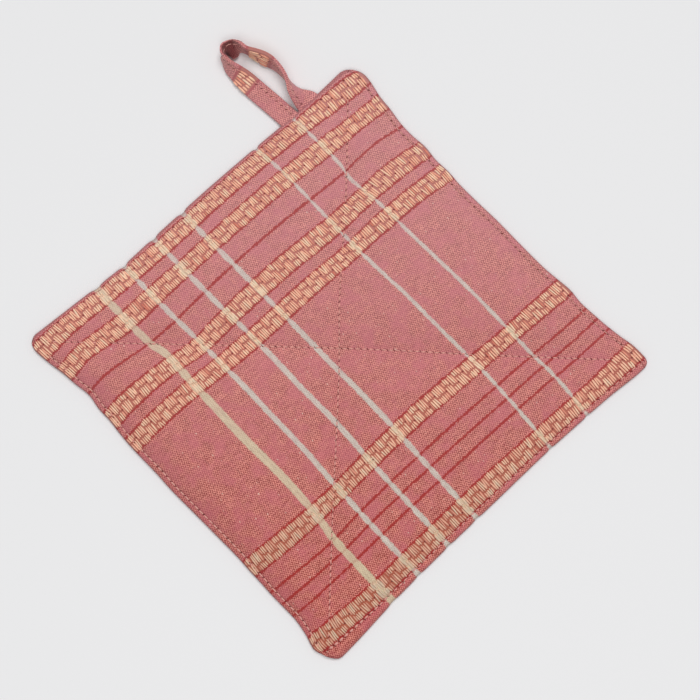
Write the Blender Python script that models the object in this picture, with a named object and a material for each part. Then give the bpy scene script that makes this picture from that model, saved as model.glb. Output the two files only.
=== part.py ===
"""Quilted pot holder with a hanging loop.

Two squares of checked cloth with thin wadding between them, turned right side out,
topstitched round the edge and quilted from corner to corner.  A tape of the same cloth
is caught in one side near a corner as a hanging loop.  The pad lies flat, face up, and
the loop lies beside it with its top half standing on edge.
"""

import math

import bmesh
import bpy
from mathutils import Vector

MM = 0.001  # every size below is in millimetres
GAP = 0.3  # between the pad's edge and the ends of the loop

# The pad: its cloth lies between these nominal lines, which the tables below bend
LEFT, RIGHT = -100.0, 100.0
BOTTOM, TOP = -100.0, 100.8
COLUMN_PITCH = 8.0
ROW_PITCH = 9.5
LEAST_PITCH = 0.6

# How high the face stands above the stitched rim, and how far it takes to rise there
CROWN = 3.6
CROWN_REACH = 27.0
# Along the quilting the face drops in straight slopes, and the underside lifts
CHANNEL_SHOULDER = 7.0
UNDER_LIFT = 0.8
LEAST_LIFT = 0.02

# Cross-section of the turned edge, from its outermost line inwards.  The dip at 3.6 is
# the topstitching.
RIM = (
    # in from the edge, height of the face, height of the underside
    (0.0, 1.7, 1.7),
    (0.7, 2.8, 0.7),
    (2.0, 3.4, 0.3),
    (3.6, 2.7, 0.7),
    (5.2, 3.3, 0.25),
    (8.0, 3.3, 0.0),
)

# Where the left and right sides run
SIDES = (
    # y, left x, right x
    (104.0, -102.0, 101.5),
    (95.0, -101.3, 100.9),
    (85.0, -99.2, 100.3),
    (70.0, -97.2, 98.6),
    (55.0, -98.4, 97.4),
    (30.0, -99.0, 97.9),
    (0.0, -98.6, 98.5),
    (-40.0, -98.5, 100.2),
    (-60.0, -98.9, 101.1),
    (-80.0, -99.8, 103.0),
    (-92.0, -102.3, 105.3),
    (-104.0, -103.0, 105.5),
)

# Where the cross lines of the cloth run, from the far side to the near one
CROSS_LINES = (
    # name, y at x = -97, y at -60, y at 0, y at 50, y at 97
    ("far side", 106.2, 102.6, 100.8, 98.0, 97.2),
    ("band A far", 103.5, 100.8, 98.1, 96.2, 93.0),
    ("band A near", 93.3, 92.6, 90.3, 88.0, 83.5),
    ("band B far", 87.3, 85.7, 83.7, 81.4, 77.3),
    ("band B near", 78.8, 76.3, 75.5, 72.8, 69.0),
    ("band C far", 57.3, 55.5, 53.6, 50.8, 47.5),
    ("band C near", 47.6, 47.2, 44.2, 42.0, 39.0),
    ("band D far", 41.2, 41.0, 37.8, 36.0, 33.0),
    ("band D near", 32.6, 32.6, 29.3, 27.8, 24.0),
    ("band E far", -39.2, -41.2, -40.4, -42.6, -44.2),
    ("band E near", -48.3, -50.2, -49.2, -50.8, -53.6),
    ("band F far", -86.2, -88.0, -87.2, -88.4, -89.2),
    ("band F near", -95.8, -97.4, -96.6, -97.2, -98.9),
    ("near side", -103.2, -101.2, -100.0, -99.8, -102.4),
)
CROSS_LINE_X = (-97.0, -60.0, 0.0, 50.0, 97.0)
NAME, AT_MIDDLE = 0, 3

# Cross-section of a raised band of thick yarn: two ribs with a valley between them
BAND_PROFILE = (
    # share of the way across, height over the plain cloth
    (0.00, -0.2),
    (0.11, 0.75),
    (0.27, 1.0),
    (0.50, 0.4),
    (0.73, 1.0),
    (0.89, 0.75),
    (1.00, -0.2),
)

CORNERS = (
    # column sign, row sign, radius
    (-1, 1, 6.5),
    (1, 1, 8.0),
    (1, -1, 4.5),
    (-1, -1, 8.0),
)

# The stitched diagonals, corner to corner
QUILTING = (
    # start x, start y, end x, end y
    (-98.0, -97.0, 97.0, 97.0),
    (-97.0, 102.5, 101.0, -96.5),
)

# The loop's tape
TAPE_THICKNESS = 2.0
TAPE_CLEARANCE = 0.3
TAPE_SECTION = (
    # across the width, through the thickness, as shares of each
    (-0.50, -0.25),
    (-0.42, -0.50),
    (0.42, -0.50),
    (0.50, -0.25),
    (0.50, 0.25),
    (0.42, 0.50),
    (-0.42, 0.50),
    (-0.50, 0.25),
)

# Where the tape runs.  The lean turns its inner edge up: 0 lies flat, 90 stands on edge,
# and past 90 the upper edge leans outwards.  None is the edge of the pad.
TAPE_STATIONS = (
    # x, y, lean in degrees, width
    (60.7, None, 0, 10.0),
    (60.3, 103.0, 0, 10.0),
    (59.7, 109.0, 2, 10.0),
    (59.0, 115.0, 5, 10.0),
    (58.4, 120.5, 12, 9.9),
    (57.9, 125.5, 26, 9.8),
    (57.4, 130.0, 44, 9.6),
    (57.0, 133.6, 56, 9.6),
    (57.3, 137.2, 66, 9.4),
    (58.5, 140.1, 82, 9.2),
    (60.1, 140.8, 112, 9.2),
    (62.3, 140.4, 137, 9.5),
    (64.8, 140.2, 142, 9.6),
    (67.0, 138.4, 138, 9.5),
    (68.6, 135.6, 128, 9.4),
    (70.1, 132.0, 124, 9.5),
    (71.4, 127.9, 126, 9.6),
    (72.6, 123.6, 118, 9.6),
    (73.2, 119.4, 106, 9.6),
    (73.2, 115.6, 97, 9.6),
    (72.8, 112.4, 90, 9.6),
    (72.1, 109.4, 80, 9.6),
    (71.4, 106.4, 64, 9.6),
    (71.3, 103.4, 48, 10.0),
    (71.7, 100.6, 22, 10.4),
    (72.4, None, 0, 11.8),
)
SEAM_HEIGHT = 1.65  # of the tape where the pad's edge holds it


def smooth_between(stops, values, at):
    """The value at a place, on a smooth curve through the given stops."""
    last = len(stops) - 1
    at = min(max(at, stops[0]), stops[last])
    i = 0
    while i < last - 1 and at > stops[i + 1]:
        i += 1

    def slope(k):
        before = max(k - 1, 0)
        after = min(k + 1, last)
        return (values[after] - values[before]) / (stops[after] - stops[before])

    span = stops[i + 1] - stops[i]
    t = (at - stops[i]) / span
    start = (1 + 2 * t) * (1 - t) ** 2 * values[i] + t * (1 - t) ** 2 * span * slope(i)
    end = t * t * (3 - 2 * t) * values[i + 1] + t * t * (t - 1) * span * slope(i + 1)
    return start + end


def straight_between(stops, values, at):
    """The value at a place, on straight runs between the given stops."""
    at = min(max(at, stops[0]), stops[-1])
    for i in range(len(stops) - 1):
        if at <= stops[i + 1]:
            share = (at - stops[i]) / (stops[i + 1] - stops[i])
            return values[i] + share * (values[i + 1] - values[i])
    return values[-1]


def rise(distance):
    """How full the filling is at a distance from a seam: 0 on it and 1 out of its reach."""
    return 1.0 - (1.0 - min(distance / CROWN_REACH, 1.0)) ** 2


def channel_rise(distance):
    """The same across the quilting, with straight slopes up to the channel's shoulders."""
    share = min(distance / CHANNEL_SHOULDER, 1.0)
    return share * rise(max(distance, CHANNEL_SHOULDER))


# --- the cloth's own lines -------------------------------------------------------------


def bands():
    """The nominal near and far line of each raised band."""
    far = [row[AT_MIDDLE] for row in CROSS_LINES if row[NAME].endswith(" far")]
    near = [row[AT_MIDDLE] for row in CROSS_LINES if row[NAME].endswith(" near")]
    return list(zip(near, far))


def spaced_out(stops, pitch):
    """The stops in order, with more between them wherever they lie far apart."""
    stops = sorted(stops)
    filled = [stops[0]]
    for stop in stops[1:]:
        span = stop - filled[-1]
        if span < LEAST_PITCH:
            continue
        parts = max(1, round(span / pitch))
        start = filled[-1]
        filled += [start + span * (part + 1) / parts for part in range(parts)]
    filled[-1] = stops[-1]
    return filled


def columns():
    """Nominal x of the lines that run along the cloth."""
    inward = [row[0] for row in RIM]
    return spaced_out([LEFT + d for d in inward] + [RIGHT - d for d in inward], COLUMN_PITCH)


def rows():
    """Nominal y of the lines that run across it."""
    inward = [row[0] for row in RIM]
    stops = [BOTTOM + d for d in inward] + [TOP - d for d in inward]
    for near, far in bands():
        stops += [near + share * (far - near) for share, height in BAND_PROFILE]
    return spaced_out(stops, ROW_PITCH)


def place_on_cloth(u, v):
    """Real x and y of a point of the cloth given by its nominal ones."""
    lines = sorted(CROSS_LINES, key=lambda row: row[AT_MIDDLE])
    nominal = [row[AT_MIDDLE] for row in lines]
    real = [smooth_between(CROSS_LINE_X, row[1:], u) for row in lines]
    y = straight_between(nominal, real, v)
    sides = sorted(SIDES)
    heights = [row[0] for row in sides]
    left = smooth_between(heights, [row[1] for row in sides], y)
    right = smooth_between(heights, [row[2] for row in sides], y)
    x = left + (u - LEFT) / (RIGHT - LEFT) * (right - left)
    return x, y


def rounded(u, v):
    """A nominal point moved so that the square's corners are round."""
    for sign_u, sign_v, radius in CORNERS:
        centre_u = (RIGHT if sign_u > 0 else LEFT) - sign_u * radius
        centre_v = (TOP if sign_v > 0 else BOTTOM) - sign_v * radius
        a = (u - centre_u) * sign_u / radius
        b = (v - centre_v) * sign_v / radius
        if a > 0 and b > 0:
            u = centre_u + sign_u * radius * a * math.sqrt(1 - b * b / 2)
            v = centre_v + sign_v * radius * b * math.sqrt(1 - a * a / 2)
            return u, v
    return u, v


# --- heights ---------------------------------------------------------------------------


def from_edge(u, v):
    return max(0.0, min(u - LEFT, RIGHT - u, v - BOTTOM, TOP - v))


def from_quilting(x, y):
    """Distance to the nearer stitched diagonal."""
    nearest = math.inf
    for start_x, start_y, end_x, end_y in QUILTING:
        run = Vector((end_x - start_x, end_y - start_y)).normalized()
        across = (x - start_x) * run.y - (y - start_y) * run.x
        nearest = min(nearest, abs(across))
    return nearest


def band_height(v):
    """How far the thick yarn of the bands stands above the plain cloth."""
    shares = [share for share, height in BAND_PROFILE]
    heights = [height for share, height in BAND_PROFILE]
    for near, far in bands():
        if near <= v <= far:
            return straight_between(shares, heights, (v - near) / (far - near))
    return 0.0


def face_height(u, v, x, y):
    edge = from_edge(u, v)
    stitched = RIM[3][0]
    rim = straight_between([row[0] for row in RIM], [row[1] for row in RIM], edge)
    filling = rise(max(0.0, edge - stitched)) * channel_rise(from_quilting(x, y))
    band = band_height(v) * min(1.0, edge / stitched)
    return rim + CROWN * filling + band


def under_height(u, v, x, y):
    edge = from_edge(u, v)
    rim = straight_between([row[0] for row in RIM], [row[2] for row in RIM], edge)
    channel = UNDER_LIFT * (1.0 - from_quilting(x, y) / CHANNEL_SHOULDER)
    lift = max(rim, channel)
    return lift if lift > LEAST_LIFT else 0.0


# --- the pad ---------------------------------------------------------------------------


def cut_along_quilting(bm):
    """Lines of points along each diagonal and along the shoulders of its channel."""
    for start_x, start_y, end_x, end_y in QUILTING:
        start = Vector((start_x, start_y, 0.0))
        across = Vector((start_y - end_y, end_x - start_x, 0.0)).normalized()
        for offset in (-CHANNEL_SHOULDER, 0.0, CHANNEL_SHOULDER):
            everything = bm.verts[:] + bm.edges[:] + bm.faces[:]
            bmesh.ops.bisect_plane(
                bm,
                geom=everything,
                dist=0.05,
                plane_co=start + across * offset,
                plane_no=across,
            )


def flat_cloth():
    """A flat grid in the cloth's outline, which remembers each point's nominal place."""
    bm = bmesh.new()
    u_stops = columns()
    v_stops = rows()
    bmesh.ops.create_grid(
        bm, x_segments=len(u_stops) - 1, y_segments=len(v_stops) - 1, size=1.0
    )
    nominal_u = bm.verts.layers.float.new("nominal_u")
    nominal_v = bm.verts.layers.float.new("nominal_v")
    for vert in bm.verts:
        u = u_stops[round((vert.co.x + 1) / 2 * (len(u_stops) - 1))]
        v = v_stops[round((vert.co.y + 1) / 2 * (len(v_stops) - 1))]
        vert[nominal_u] = u
        vert[nominal_v] = v
        vert.co.x, vert.co.y = place_on_cloth(*rounded(u, v))
    cut_along_quilting(bm)
    return bm, nominal_u, nominal_v


def make_pad():
    bm, nominal_u, nominal_v = flat_cloth()
    face_side = bm.verts[:]
    copied = bmesh.ops.duplicate(bm, geom=bm.verts[:] + bm.edges[:] + bm.faces[:])
    under_faces = [item for item in copied["geom"] if isinstance(item, bmesh.types.BMFace)]
    under_side = [item for item in copied["geom"] if isinstance(item, bmesh.types.BMVert)]
    bmesh.ops.reverse_faces(bm, faces=under_faces)
    for vert in face_side:
        vert.co.z = face_height(vert[nominal_u], vert[nominal_v], vert.co.x, vert.co.y)
    for vert in under_side:
        vert.co.z = under_height(vert[nominal_u], vert[nominal_v], vert.co.x, vert.co.y)
    bmesh.ops.remove_doubles(bm, verts=bm.verts, dist=0.01)
    lying = [face for face in bm.faces if all(vert.co.z == 0.0 for vert in face.verts)]
    bmesh.ops.dissolve_faces(bm, faces=lying, use_verts=False)
    return to_object(bm, "pad", "checked_cloth", (0.60, 0.16, 0.17, 1.0))


# --- the loop --------------------------------------------------------------------------


def beside_pad(x, width):
    """The y where an end of the tape meets the pad's edge, less the gap between them."""
    ends = (x - width / 2, x + width / 2)
    return max(place_on_cloth(end, TOP)[1] for end in ends) + GAP


def tape_middles():
    """The tape's centre line, seen from above."""
    middles = []
    for x, y, lean, width in TAPE_STATIONS:
        if y is None:
            y = beside_pad(x, width)
        middles.append(Vector((x, y, 0.0)))
    return middles


def tape_rings():
    """The tape's outline at each station, as points in space."""
    middles = tape_middles()
    last = len(middles) - 1
    rings = []
    for i, (x, y, lean, width) in enumerate(TAPE_STATIONS):
        along = (middles[min(i + 1, last)] - middles[max(i - 1, 0)]).normalized()
        if i in (0, last):
            along = Vector((0.0, 1.0 if i == 0 else -1.0, 0.0))
        inward = Vector((along.y, -along.x, 0.0))
        up = math.sin(math.radians(lean))
        flat = math.cos(math.radians(lean))
        across = inward * flat + Vector((0.0, 0.0, up))
        through = Vector((0.0, 0.0, flat)) - inward * up
        height = TAPE_CLEARANCE + (width * abs(up) + TAPE_THICKNESS * abs(flat)) / 2
        if i in (0, last):
            height = SEAM_HEIGHT
        middle = middles[i] + Vector((0.0, 0.0, height))
        rings.append(
            [
                middle + across * (width * w) + through * (TAPE_THICKNESS * t)
                for w, t in TAPE_SECTION
            ]
        )
    return rings


def make_loop():
    bm = bmesh.new()
    rings = [[bm.verts.new(point) for point in ring] for ring in tape_rings()]
    count = len(TAPE_SECTION)
    for ring, following in zip(rings, rings[1:]):
        for k in range(count):
            after = (k + 1) % count
            bm.faces.new((ring[k], ring[after], following[after], following[k]))
    bm.faces.new(rings[0])
    bm.faces.new(rings[-1])
    bmesh.ops.recalc_face_normals(bm, faces=bm.faces)
    return to_object(bm, "hanging_loop", "loop_cloth", (0.58, 0.17, 0.18, 1.0))


# --- putting it together ---------------------------------------------------------------


def to_object(bm, name, material_name, colour):
    bmesh.ops.scale(bm, vec=(MM, MM, MM), verts=bm.verts)
    mesh = bpy.data.meshes.new(name)
    bm.to_mesh(mesh)
    bm.free()
    mesh.shade_smooth()
    mesh.set_sharp_from_angle(angle=math.radians(50))
    mesh.materials.append(cloth_material(material_name, colour))
    return bpy.data.objects.new(name, mesh)


def cloth_material(name, colour):
    material = bpy.data.materials.new(name)
    material.use_nodes = True
    shader = material.node_tree.nodes["Principled BSDF"]
    shader.inputs["Base Color"].default_value = colour
    shader.inputs["Roughness"].default_value = 0.9
    shader.inputs["Metallic"].default_value = 0.0
    return material


def stand_on_origin(pieces):
    """Moves the pieces so that the middle of their footprint is at the origin."""
    corners = [vert.co for piece in pieces for vert in piece.data.vertices]
    low = [min(corner[axis] for corner in corners) for axis in range(3)]
    high = [max(corner[axis] for corner in corners) for axis in range(3)]
    shift = Vector((-(low[0] + high[0]) / 2, -(low[1] + high[1]) / 2, -low[2]))
    for piece in pieces:
        for vert in piece.data.vertices:
            vert.co += shift


def build():
    for old in list(bpy.data.objects):
        bpy.data.objects.remove(old)
    pieces = [make_pad(), make_loop()]
    stand_on_origin(pieces)
    collection = bpy.data.collections.new("pot_holder")
    bpy.context.scene.collection.children.link(collection)
    for piece in pieces:
        collection.objects.link(piece)


build()
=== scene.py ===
"""The finished look of a quilted pot holder with a hanging loop, around its solids.

Sizes are in millimetres.  The cloth has coordinates of its own: u runs across it and v
along it, so that each woven stripe lies at one u and each cross line at one v, however
the sewing has pulled them.  What is woven or sewn into the cloth is laid out flat there,
and then settled onto the pad.
"""

import math

import bmesh
import bpy
import numpy as np
from mathutils import Matrix, Vector


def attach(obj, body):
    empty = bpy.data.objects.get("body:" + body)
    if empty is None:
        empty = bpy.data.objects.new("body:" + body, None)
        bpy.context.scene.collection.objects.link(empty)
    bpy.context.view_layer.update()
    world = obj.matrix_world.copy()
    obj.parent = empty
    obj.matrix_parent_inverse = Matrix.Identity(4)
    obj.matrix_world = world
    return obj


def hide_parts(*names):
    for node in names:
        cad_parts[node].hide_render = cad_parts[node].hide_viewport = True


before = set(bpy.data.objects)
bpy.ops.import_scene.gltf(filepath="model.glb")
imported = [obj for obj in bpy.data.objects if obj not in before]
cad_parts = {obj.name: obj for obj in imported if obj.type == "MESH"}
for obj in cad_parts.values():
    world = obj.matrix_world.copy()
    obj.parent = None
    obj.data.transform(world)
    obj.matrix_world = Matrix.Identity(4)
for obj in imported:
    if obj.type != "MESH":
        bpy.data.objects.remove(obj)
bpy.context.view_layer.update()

MM = 0.001
CLOTH_MIDDLE = (-1.65, -20.63)  # of the cloth's own lines, in the frame

LEFT, RIGHT = -100.0, 100.0
BOTTOM, TOP = -100.0, 100.8
CLOTH_PITCH = 0.93  # between the lines of points of the finished cloth
FACE, BACK = 1, -1  # the pad's two sides

# Where the left and right sides run
SIDES = (
    # y, left x, right x
    (-104.0, -103.4, 105.5),
    (-92.0, -102.8, 105.3),
    (-84.0, -100.7, 103.8),
    (-76.0, -99.5, 102.6),
    (-68.0, -99.5, 101.8),
    (-60.0, -99.6, 101.2),
    (-52.0, -99.4, 101.7),
    (-44.0, -99.3, 100.8),
    (-36.0, -99.0, 99.9),
    (-20.0, -99.3, 99.4),
    (-4.0, -99.7, 99.1),
    (8.0, -100.0, 98.4),
    (20.0, -99.7, 98.0),
    (28.0, -99.8, 98.3),
    (36.0, -99.8, 97.8),
    (44.0, -99.4, 98.4),
    (52.0, -98.6, 97.6),
    (60.0, -98.5, 97.6),
    (68.0, -97.4, 98.6),
    (76.0, -98.5, 99.2),
    (84.0, -99.3, 100.7),
    (92.0, -100.7, 101.3),
    (104.0, -102.0, 101.8),
)

# The pale stripes along the cloth, which the quilting pulls aside by a millimetre or so
STRIPE_Y = (-98, -75, -60, -50, -40, -20, 0, 20, 40, 57, 65, 80, 100)
STRIPES = (
    # yarn, nominal u, width, x at each of the y above
    ("cream", -58.0, 4.1,
     (-60, -60, -60, -58.5, -57.5, -57, -57.8, -57.7, -57.5, -57.3, -59.5, -60, -60)),
    ("white", -41.5, 2.8,
     (-42.5, -42.4, -42.2, -42.1, -42, -41, -41, -41, -41.7, -42.3, -42.6, -43, -43.5)),
    ("white", -22.5, 2.8,
     (-22.8, -22.7, -22.4, -22.2, -22, -21.5, -22, -22, -22.5, -23.4, -23.6, -24, -24.5)),
    ("white", -4.5, 2.8,
     (-4.3, -4.2, -3.9, -3.6, -3.3, -3.4, -4, -4.2, -4.7, -5.1, -5.3, -5.8, -6.3)),
    ("white", 43.5, 2.0,
     (43.7, 44.8, 45.3, 45.5, 45, 44.2, 43.7, 42.3, 41.8, 41.6, 41.5, 41.3, 39.5)),
    ("white", 65.5, 2.0,
     (67, 68.2, 67.6, 67.4, 67.4, 67, 66, 64.8, 64, 62.2, 63.3, 63, 62)),
)

# The lines across the cloth, from the near side to the far one
LINE_X = (-97, -85, -62, -45, -20, 10, 40, 60, 80, 97)
CROSS_LINES = (
    # name, nominal v, y at each of the x above
    ("near side", -100.0,
     (-104, -103.5, -101.9, -101.1, -100.6, -100.4, -100.2, -100.7, -101.4, -102.9)),
    ("band near", -96.6, (-95.8, -96.6, -97.4, -97, -96.7, -96.7, -97, -97.4, -98.2, -98.9)),
    ("band far", -87.2, (-86.2, -87, -88, -87.6, -87.3, -87.3, -88.2, -88.7, -89.3, -88.8)),
    ("line", -74.6, (-74, -74.8, -74.8, -74.4, -74.4, -74.7, -75.3, -76, -77.5, -77.8)),
    ("line", -67.0, (-66.3, -67, -67.8, -67, -66.8, -67.2, -68.2, -68.8, -70, -70.5)),
    ("line", -59.4, (-58.8, -59.5, -61, -59.8, -59.3, -59.6, -60.6, -61.6, -62.6, -63.4)),
    ("band near", -49.2, (-48.3, -49, -50.3, -50, -49.2, -49.2, -50.6, -51.2, -52.2, -53.6)),
    ("band far", -40.4, (-39.2, -39.8, -41.3, -42, -40.8, -40.4, -41.8, -43.3, -43.5, -44.2)),
    ("band near", 29.3, (32.5, 33, 32.5, 31, 29.5, 29, 28.2, 27.5, 26.5, 24)),
    ("band far", 37.8, (41, 41.5, 41, 39.5, 38.2, 37.5, 36, 36, 34.8, 33)),
    ("band near", 44.2, (47.5, 48.3, 47.5, 44.8, 44.8, 44, 42, 42, 41, 39)),
    ("band far", 53.6, (57, 57.5, 55.7, 53, 53.8, 53.5, 51.2, 50.7, 50.2, 47.5)),
    ("line", 65.2, (68.5, 69.3, 66.2, 65, 65.5, 65, 63, 61.5, 61.2, 58.5)),
    ("band near", 75.5, (78.5, 80, 76.3, 76, 76, 75.2, 73.8, 71.8, 70.8, 69)),
    ("band far", 83.7, (87.3, 88.3, 85.5, 85, 84, 83.5, 82.3, 80.7, 78.5, 77)),
    ("band near", 90.3, (93.3, 94.2, 92.7, 91.5, 90.5, 90.2, 88.8, 87.2, 85, 83.5)),
    ("band far", 98.1, (103.5, 103, 101, 99.7, 98.3, 98, 97, 95.3, 94, 93)),
    ("far side", 100.8, (106.2, 105, 102.8, 101.3, 100.9, 100.2, 98.8, 97.6, 97.1, 97.2)),
)

CORNERS = (
    # sign of u, sign of v, radius
    (-1, 1, 6.5),
    (1, 1, 8.0),
    (1, -1, 3.2),
    (-1, -1, 8.0),
)

# The quilting: two stitched lines from corner to corner, and how they stray sideways
QUILTING = (
    # start x, start y, end x, end y
    (-98.0, -97.0, 97.0, 97.0),
    (-97.0, 102.5, 101.0, -96.5),
)
STRAY_AT = (0, 60, 130, 165, 215, 280)  # along the line
STRAYS = (
    (0.0, -0.1, -1.1, -0.3, -1.8, -1.0),
    (0.0, 0.5, 1.0, 0.9, -0.1, -0.5),
)
QUILTING_STITCH = 3.1  # from one stitch to the next
QUILTING_THREAD = (0.3, 0.24)  # half of a stitch's width and height
UNQUILTED = 8.0  # of each line, at its two ends together
CROWN = 3.6  # how far the filling lifts the face where it is fullest
CROWN_REACH = 27.0  # from a seam to there
GROOVE_DEPTH, GROOVE_REACH = 0.4, 1.3  # where the stitches draw the face in
PUCKER_PITCH, PUCKER_DEPTH = 8.3, 0.16
UNDER_LIFT, UNDER_REACH = 0.8, 7.0  # where they draw the back off the table
LOWEST = 0.02  # that the back's cloth reaches

# Cross-section of the turned edge, from the seam inwards
RIM = (
    # in from the edge, height of the face, height of the underside
    (0.00, 1.70, 1.70),
    (0.12, 2.15, 1.25),
    (0.35, 2.55, 0.90),
    (0.70, 2.85, 0.65),
    (1.30, 3.20, 0.38),
    (2.00, 3.30, 0.30),
    (2.90, 2.85, 0.62),
    (3.80, 3.15, 0.40),
    (5.00, 3.30, 0.20),
    (8.00, 3.30, 0.05),
)
TOPSTITCH_IN = 2.9  # from the edge
NOTCH_DEPTH, NOTCH_REACH = 0.8, 6.0  # where the tighter stripes draw the edge in
EDGE_STITCH = 3.05  # from one stitch to the next
STITCH_LENGTH = 0.4  # half of a stitch, as a share of the way to the next
STITCH_WIDTH, STITCH_HEIGHT = 0.24, 0.2  # half of each
LOOSE_WIDTH = 0.4  # of those on the left, likewise
STITCH_OFF = 0.12  # from the cloth to a stitch's middle

# The thick yarn of the bands, which floats over the cloth in two rows of short lengths
BAND_LIFT = 0.35  # how far the cloth of the face stands out under it
UNDER_BAND = 0.6  # how far that of the back is drawn in, to leave it room
BAND_START, BAND_END = LEFT + 1.2, RIGHT - 1.0
FLOAT_PITCH = 1.06
FLOAT_WIDTH, FLOAT_HEIGHT = 0.86, 0.46
PALE_WIDER = 1.4  # the floats that cross a pale stripe
FLOAT_TILT = 0.06  # sideways for each millimetre along
FLOAT_GAP = 0.02  # on each side of the rows' meeting, as a share of the band
BLOCK = (3, 6)  # floats, after which the rows meet a little further up or down
BLOCK_SHIFT = 0.13  # as a share of the band
BLOCK_GAP = 0.6
BLOCK_PUFF = 0.35  # how much higher its middle floats stand
BLOCK_SWELL = 0.07  # how much longer they are at each end, as a share of the band
RAGGED_EDGE, RAGGED_MEETING = 0.025, 0.045  # how unevenly floats end and meet
WARP_END = (0.3, 0.45, 0.7 * FLOAT_HEIGHT)  # half the size of one that shows between blocks

# How pale the thick yarn is, from 0 to 1
# The share that grows with the block's puff is painted light: floats paler in mid block, where it puffs
# up, and darker at its sides.
TONE, PUFF_PAINTED_LIGHT, TONE_SPREAD = 0.49, 0.18, 0.14  # a float's, more in mid block, and by chance
TONE_LIMITS = (0.2, 0.88)
PALE_TONES = (0.9, 1.0)
# painted shade where each float curves down at its ends
END_SHADE = 0.4  # how much darker a float is at its ends


# --- numbers ---


def smooth_between(stops, values, at):
    """Values at the given places, on a smooth curve through the stops."""
    stops = np.asarray(stops, float)
    values = np.asarray(values, float)
    slopes = np.empty_like(values)
    slopes[1:-1] = (values[2:] - values[:-2]) / (stops[2:] - stops[:-2])
    slopes[0] = (values[1] - values[0]) / (stops[1] - stops[0])
    slopes[-1] = (values[-1] - values[-2]) / (stops[-1] - stops[-2])
    at = np.clip(at, stops[0], stops[-1])
    i = np.clip(np.searchsorted(stops, at, side="right") - 1, 0, len(stops) - 2)
    span = stops[i + 1] - stops[i]
    t = (at - stops[i]) / span
    start = (1 + 2 * t) * (1 - t) ** 2 * values[i] + t * (1 - t) ** 2 * span * slopes[i]
    end = t * t * (3 - 2 * t) * values[i + 1] + t * t * (t - 1) * span * slopes[i + 1]
    return start + end


def across_rows(stops, rows, at):
    """Values between rows that hold, for every place, the value at each stop."""
    i = np.clip(np.searchsorted(stops, at, side="right") - 1, 0, len(stops) - 2)
    share = (at - stops[i]) / (stops[i + 1] - stops[i])
    each = np.arange(len(at))
    return rows[i, each] * (1 - share) + rows[i + 1, each] * share


def back_across_rows(rows, stops, at):
    """The other way round: the stop at which the rows reach the given values."""
    i = np.clip((rows <= at).sum(axis=0) - 1, 0, len(stops) - 2)
    each = np.arange(len(at))
    share = (at - rows[i, each]) / (rows[i + 1, each] - rows[i, each])
    return stops[i] + share * (stops[i + 1] - stops[i])


def unevenness(x, y, size, seed):
    """A smooth random field between about -1 and 1, with features of the given size."""
    rng = np.random.default_rng(seed)
    total = np.zeros_like(x)
    waves = 14
    for _ in range(waves):
        turn = rng.uniform(0, 2 * math.pi)
        length = size * rng.uniform(1.2, 3.0)
        phase = rng.uniform(0, 2 * math.pi)
        total += np.sin(2 * math.pi * (x * math.cos(turn) + y * math.sin(turn)) / length + phase)
    return total / math.sqrt(waves)


# --- from the cloth's coordinates to the pad, and back ---

LINE_V = np.array([line[1] for line in CROSS_LINES])
STRIPE_U = np.array([LEFT, *(stripe[1] for stripe in STRIPES), RIGHT])


def line_heights(x):
    """The y of every cross line at the given x, a row for each line."""
    return np.array([smooth_between(LINE_X, places, x) for _, _, places in CROSS_LINES])


def stripe_places(y):
    """The x of the left side, every stripe and the right side at the given y."""
    side_y = [side[0] for side in SIDES]
    left = smooth_between(side_y, [side[1] for side in SIDES], y)
    right = smooth_between(side_y, [side[2] for side in SIDES], y)
    stripes = [smooth_between(STRIPE_Y, places, y) for _, _, _, places in STRIPES]
    return np.array([left, *stripes, right])


def real_place(u, v):
    """The x and y of places on the cloth."""
    x, y = u, v
    for _ in range(4):
        y = across_rows(LINE_V, line_heights(x), v)
        x = across_rows(STRIPE_U, stripe_places(y), u)
    return x, y


def cloth_place(x, y):
    """The u and v of places on the pad."""
    u = back_across_rows(stripe_places(y), STRIPE_U, x)
    v = back_across_rows(line_heights(x), LINE_V, y)
    return u, v


def rounded(u, v):
    """The same places, moved so that the square's corners are round."""
    u, v = u.copy(), v.copy()
    for sign_u, sign_v, radius in CORNERS:
        centre_u = (RIGHT if sign_u > 0 else LEFT) - sign_u * radius
        centre_v = (TOP if sign_v > 0 else BOTTOM) - sign_v * radius
        a = (u - centre_u) * sign_u / radius
        b = (v - centre_v) * sign_v / radius
        inside = (a > 0) & (b > 0)
        a, b = a[inside], b[inside]
        u[inside] = centre_u + sign_u * radius * a * np.sqrt(1 - b * b / 2)
        v[inside] = centre_v + sign_v * radius * b * np.sqrt(1 - a * a / 2)
    return u, v


def from_edge(u, v):
    """How far places on the cloth lie from its nearest edge."""
    return np.clip(np.minimum.reduce([u - LEFT, RIGHT - u, v - BOTTOM, TOP - v]), 0, None)


def along_quilting(line, x, y):
    """How far places lie along a quilting line, and how far to its left."""
    start_x, start_y, end_x, end_y = QUILTING[line]
    run = Vector((end_x - start_x, end_y - start_y)).normalized()
    along = (x - start_x) * run.x + (y - start_y) * run.y
    aside = (y - start_y) * run.x - (x - start_x) * run.y
    return along, aside - smooth_between(STRAY_AT, STRAYS[line], along)


def on_quilting(line, along, aside):
    """The x and y of places given along a quilting line and to its left."""
    start_x, start_y, end_x, end_y = QUILTING[line]
    run = Vector((end_x - start_x, end_y - start_y)).normalized()
    aside = aside + smooth_between(STRAY_AT, STRAYS[line], along)
    return start_x + along * run.x - aside * run.y, start_y + along * run.y + aside * run.x


# --- the pad's two surfaces ---


def rise(distance):
    """How full the filling is at a distance from a seam: 0 on it and 1 out of its reach."""
    return 1 - (1 - np.clip(distance / CROWN_REACH, 0, 1)) ** 2


def band_edges():
    """The near and far v of every band."""
    near = [v for name, v, _ in CROSS_LINES if name == "band near"]
    far = [v for name, v, _ in CROSS_LINES if name == "band far"]
    return list(zip(near, far))


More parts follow.
